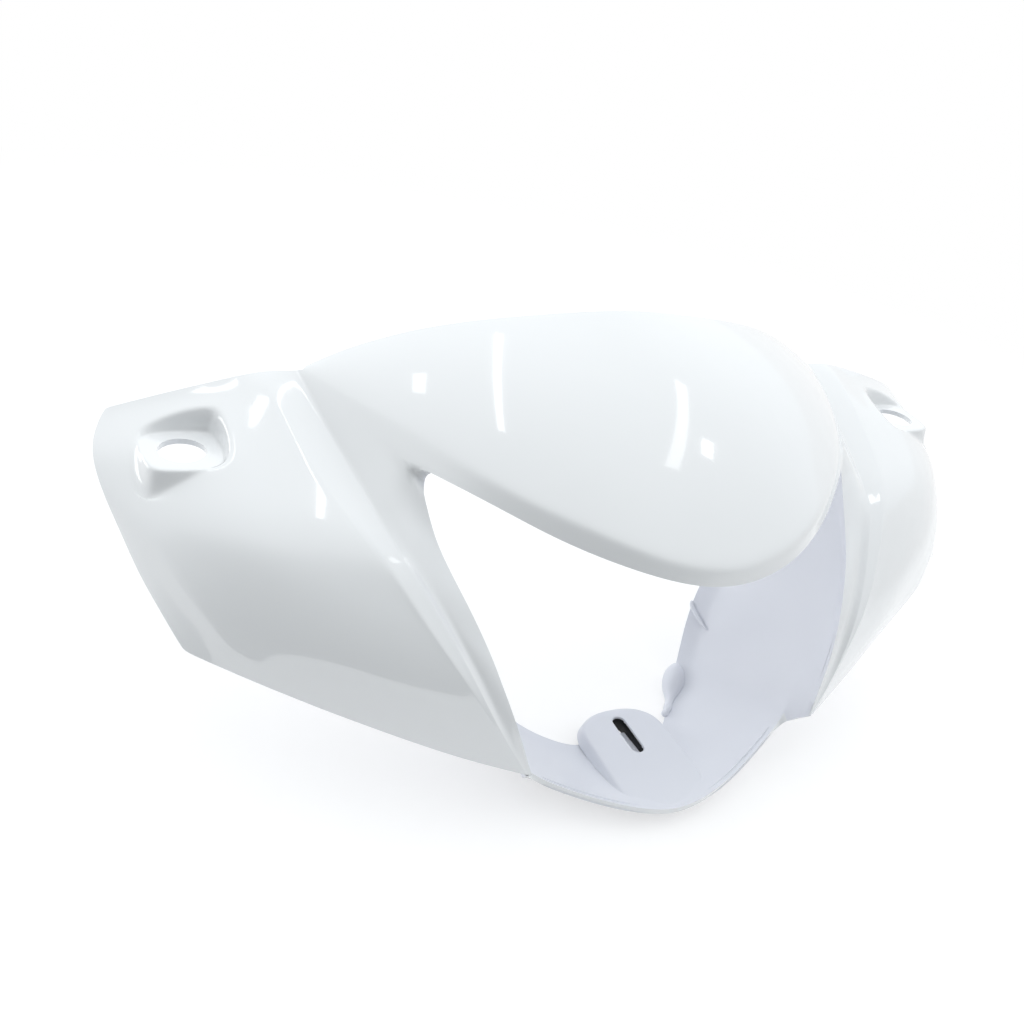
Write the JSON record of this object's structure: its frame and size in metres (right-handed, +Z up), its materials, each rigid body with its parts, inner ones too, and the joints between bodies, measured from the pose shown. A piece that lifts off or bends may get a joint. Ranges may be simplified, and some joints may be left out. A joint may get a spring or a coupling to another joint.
{
  "type": "headlight housing",
  "caption": "Moulded front handlebar cover of a small motorbike: domed visor over an open lamp aperture, swept wings with mirror seats, chin with an adjuster tab.",
  "frame": {"origin": "midway between the two mirror hole centres, on the level of their flat seats", "axes": "+X to the rider's left, along the line through the mirror holes; -Y forward; +Z up, along the mirror holes"},
  "size_m": [0.4812, 0.1738, 0.1998],
  "materials": {
    "white_gloss_abs": "high gloss, moulded in white"
  },
  "bodies": {
    "root": {"headlight_housing": "white_gloss_abs"}
  },
  "joints": []
}
